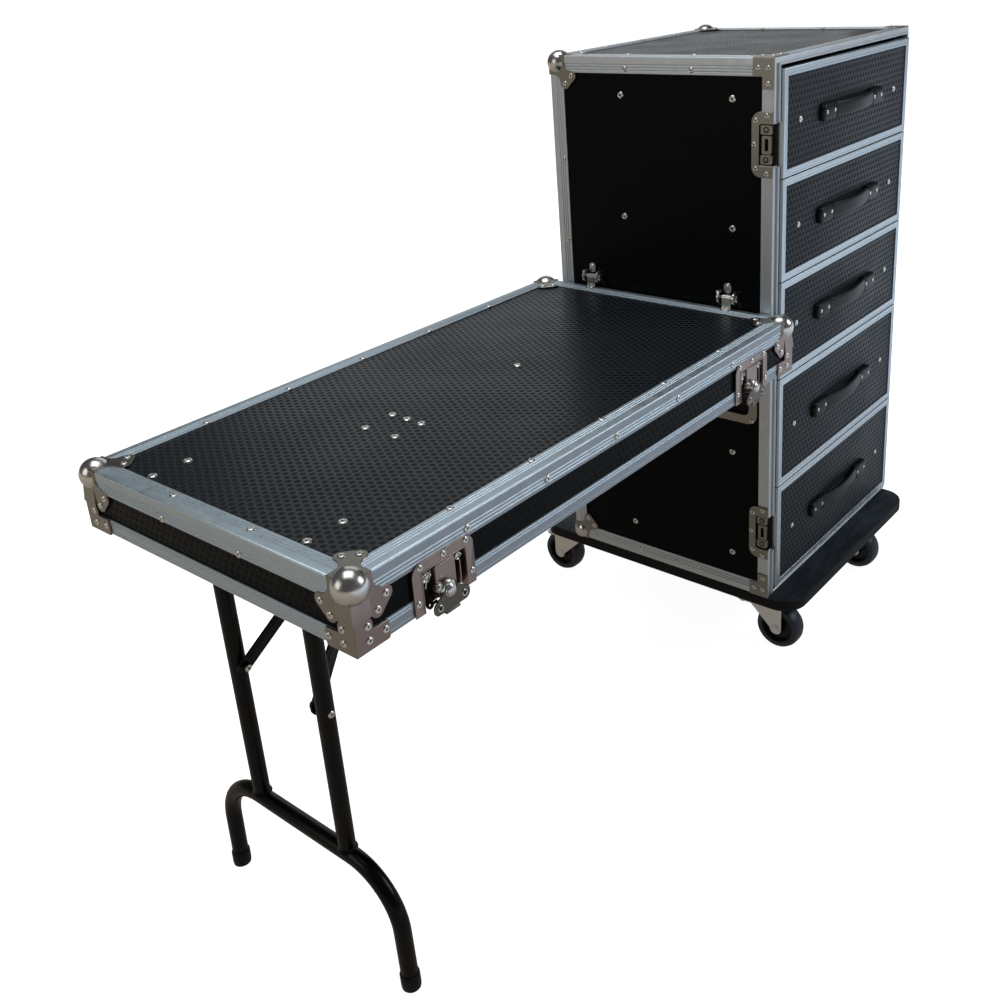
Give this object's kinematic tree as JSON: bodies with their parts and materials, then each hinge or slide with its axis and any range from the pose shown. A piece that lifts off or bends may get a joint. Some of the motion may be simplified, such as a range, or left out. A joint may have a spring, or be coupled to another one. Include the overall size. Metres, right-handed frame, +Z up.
{
  "type": "road case with drawers",
  "caption": "Upright road case with framed drawers on a caster board, and its cover lid hooked to the side as a table on a folding leg.",
  "frame": {"origin": "middle of the outer box in plan, at floor level", "axes": "+Z up, drawers open towards -Y, the table stands on the -X side of the case"},
  "size_m": [1.563, 0.644, 1.139],
  "materials": {
    "laminate": "black phenolic laminate on plywood, embossed hexagon texture, semi-matt",
    "drawer_laminate": "brownish black embossed laminate, matt",
    "aluminium": "satin anodised extrusion with long grooves",
    "plated_steel": "plated steel with a faint warm tint",
    "zinc_steel": "zinc plated pressed steel",
    "black_steel": "black powder coat",
    "handle_plastic": "black moulded plastic, soft sheen",
    "plywood": "sealed birch plywood",
    "board": "dark blue-black coated board, scuffed",
    "tyre": "dark grey-blue elastic tyre on a black hub",
    "runner_steel": "bright zinc plated runner channels"
  },
  "bodies": {
    "case": {"side_panel_left": "laminate", "side_panel_right": "laminate", "bottom_panel": "laminate", "top_panel": "laminate", "back_panel": "laminate", "case_edging": "aluminium", "front_frame": "aluminium", "catch_plate_left_lower": "plated_steel", "catch_plate_left_upper": "plated_steel", "catch_plate_right_lower": "plated_steel", "catch_plate_right_upper": "plated_steel", "handle_dish_left": "plated_steel", "handle_dish_right": "plated_steel", "table_bracket_front": "plated_steel", "table_bracket_rear": "plated_steel", "runner_rack_left": "runner_steel", "runner_rack_right": "runner_steel", "caster_board": "board"},
    "drawer_5": {"drawer_5_box": "plywood", "drawer_5_front": "drawer_laminate", "drawer_5_handle": "handle_plastic"},
    "drawer_4": {"drawer_4_box": "plywood", "drawer_4_front": "drawer_laminate", "drawer_4_handle": "handle_plastic"},
    "drawer_3": {"drawer_3_box": "plywood", "drawer_3_front": "drawer_laminate", "drawer_3_handle": "handle_plastic"},
    "drawer_2": {"drawer_2_box": "plywood", "drawer_2_front": "drawer_laminate", "drawer_2_handle": "handle_plastic"},
    "drawer_1": {"drawer_1_box": "plywood", "drawer_1_front": "drawer_laminate", "drawer_1_handle": "handle_plastic"},
    "bail_left": {"handle_bail_left": "plated_steel"},
    "bail_right": {"handle_bail_right": "plated_steel"},
    "fork_front_left": {"caster_fork_front_left": "zinc_steel"},
    "wheel_front_left": {"caster_wheel_front_left": "tyre"},
    "fork_front_right": {"caster_fork_front_right": "zinc_steel"},
    "wheel_front_right": {"caster_wheel_front_right": "tyre"},
    "fork_rear_left": {"caster_fork_rear_left": "zinc_steel"},
    "wheel_rear_left": {"caster_wheel_rear_left": "tyre"},
    "fork_rear_right": {"caster_fork_rear_right": "zinc_steel"},
    "wheel_rear_right": {"caster_wheel_rear_right": "tyre"},
    "lid": {"lid_tray": "laminate", "lid_edging": "aluminium", "lid_rim": "aluminium", "latch_dish_front_outer": "plated_steel", "latch_dish_rear_outer": "plated_steel", "latch_dish_front_inner": "plated_steel", "latch_dish_rear_inner": "plated_steel", "leg_bracket_front": "black_steel", "leg_bracket_rear": "black_steel"},
    "wing_front_outer": {"latch_wing_front_outer": "plated_steel"},
    "wing_front_inner": {"latch_wing_front_inner": "plated_steel"},
    "wing_rear_outer": {"latch_wing_rear_outer": "plated_steel"},
    "wing_rear_inner": {"latch_wing_rear_inner": "plated_steel"},
    "leg": {"leg_frame": "black_steel"},
    "arm_front": {"brace_arm_front": "black_steel"},
    "arm_rear": {"brace_arm_rear": "black_steel"},
    "link": {"brace_link": "black_steel"}
  },
  "joints": [
    {"name": "drawer_5_slide", "type": "slide", "parent": "case", "child": "drawer_5", "axis": [0, -1, 0], "range_m": [0, 0.33]},
    {"name": "drawer_4_slide", "type": "slide", "parent": "case", "child": "drawer_4", "axis": [0, -1, 0], "range_m": [0, 0.33]},
    {"name": "drawer_3_slide", "type": "slide", "parent": "case", "child": "drawer_3", "axis": [0, -1, 0], "range_m": [0, 0.33]},
    {"name": "drawer_2_slide", "type": "slide", "parent": "case", "child": "drawer_2", "axis": [0, -1, 0], "range_m": [0, 0.33]},
    {"name": "drawer_1_slide", "type": "slide", "parent": "case", "child": "drawer_1", "axis": [0, -1, 0], "range_m": [0, 0.33]},
    {"name": "bail_left_swing", "type": "hinge", "parent": "case", "child": "bail_left", "pos_m": [0.236, -0.143, 0.589], "axis": [0, 1, 0], "range_deg": [0, 85]},
    {"name": "bail_right_swing", "type": "hinge", "parent": "case", "child": "bail_right", "pos_m": [0.769, -0.143, 0.589], "axis": [0, -1, 0], "range_deg": [0, 85]},
    {"name": "swivel_front_left", "type": "hinge", "parent": "case", "child": "fork_front_left", "pos_m": [0.2845, -0.231, 0.097], "axis": [0, 0, 1], "continuous": true},
    {"name": "roll_front_left", "type": "hinge", "parent": "fork_front_left", "child": "wheel_front_left", "pos_m": [0.2845, -0.26, 0.045], "axis": [1, 0, 0], "continuous": true},
    {"name": "swivel_front_right", "type": "hinge", "parent": "case", "child": "fork_front_right", "pos_m": [0.6425, -0.231, 0.097], "axis": [0, 0, 1], "continuous": true},
    {"name": "roll_front_right", "type": "hinge", "parent": "fork_front_right", "child": "wheel_front_right", "pos_m": [0.6425, -0.26, 0.045], "axis": [1, 0, 0], "continuous": true},
    {"name": "swivel_rear_left", "type": "hinge", "parent": "case", "child": "fork_rear_left", "pos_m": [0.2845, 0.248, 0.097], "axis": [0, 0, 1], "continuous": true},
    {"name": "roll_rear_left", "type": "hinge", "parent": "fork_rear_left", "child": "wheel_rear_left", "pos_m": [0.2845, 0.277, 0.045], "axis": [1, 0, 0], "continuous": true},
    {"name": "swivel_rear_right", "type": "hinge", "parent": "case", "child": "fork_rear_right", "pos_m": [0.6425, 0.248, 0.097], "axis": [0, 0, 1], "continuous": true},
    {"name": "roll_rear_right", "type": "hinge", "parent": "fork_rear_right", "child": "wheel_rear_right", "pos_m": [0.6425, 0.277, 0.045], "axis": [1, 0, 0], "continuous": true},
    {"name": "lid_swing", "type": "hinge", "parent": "case", "child": "lid", "pos_m": [0.2245, -0.029, 0.722], "axis": [0, 1, 0], "range_deg": [0, 85]},
    {"name": "wing_front_outer_turn", "type": "hinge", "parent": "lid", "child": "wing_front_outer", "pos_m": [-0.6335, -0.299, 0.625], "axis": [0, 1, 0], "range_deg": [0, 180]},
    {"name": "wing_front_inner_turn", "type": "hinge", "parent": "lid", "child": "wing_front_inner", "pos_m": [0.0885, -0.299, 0.625], "axis": [0, 1, 0], "range_deg": [0, 180]},
    {"name": "wing_rear_outer_turn", "type": "hinge", "parent": "lid", "child": "wing_rear_outer", "pos_m": [-0.6335, 0.241, 0.625], "axis": [0, 1, 0], "range_deg": [0, 180]},
    {"name": "wing_rear_inner_turn", "type": "hinge", "parent": "lid", "child": "wing_rear_inner", "pos_m": [0.0885, 0.241, 0.625], "axis": [0, 1, 0], "range_deg": [0, 180]},
    {"name": "leg_fold", "type": "hinge", "parent": "lid", "child": "leg", "pos_m": [-0.7015, -0.029, 0.6755], "axis": [0, -1, 0], "range_deg": [0, 90]},
    {"name": "arm_front_turn", "type": "hinge", "parent": "leg", "child": "arm_front", "pos_m": [-0.7015, -0.105, 0.415], "axis": [0, -1, 0], "range_deg": [0, 45]},
    {"name": "arm_rear_turn", "type": "hinge", "parent": "leg", "child": "arm_rear", "pos_m": [-0.7015, 0.047, 0.415], "axis": [0, -1, 0], "range_deg": [0, 45]},
    {"name": "link_turn", "type": "hinge", "parent": "lid", "child": "link", "pos_m": [-0.441, -0.029, 0.6755], "axis": [0, 1, 0], "range_deg": [0, 45]}
  ],
  "couplings": [
    {"joint": "arm_front_turn", "follows": "leg_fold", "ratio": 0.5},
    {"joint": "arm_rear_turn", "follows": "leg_fold", "ratio": 0.5},
    {"joint": "link_turn", "follows": "leg_fold", "ratio": 0.5}
  ]
}
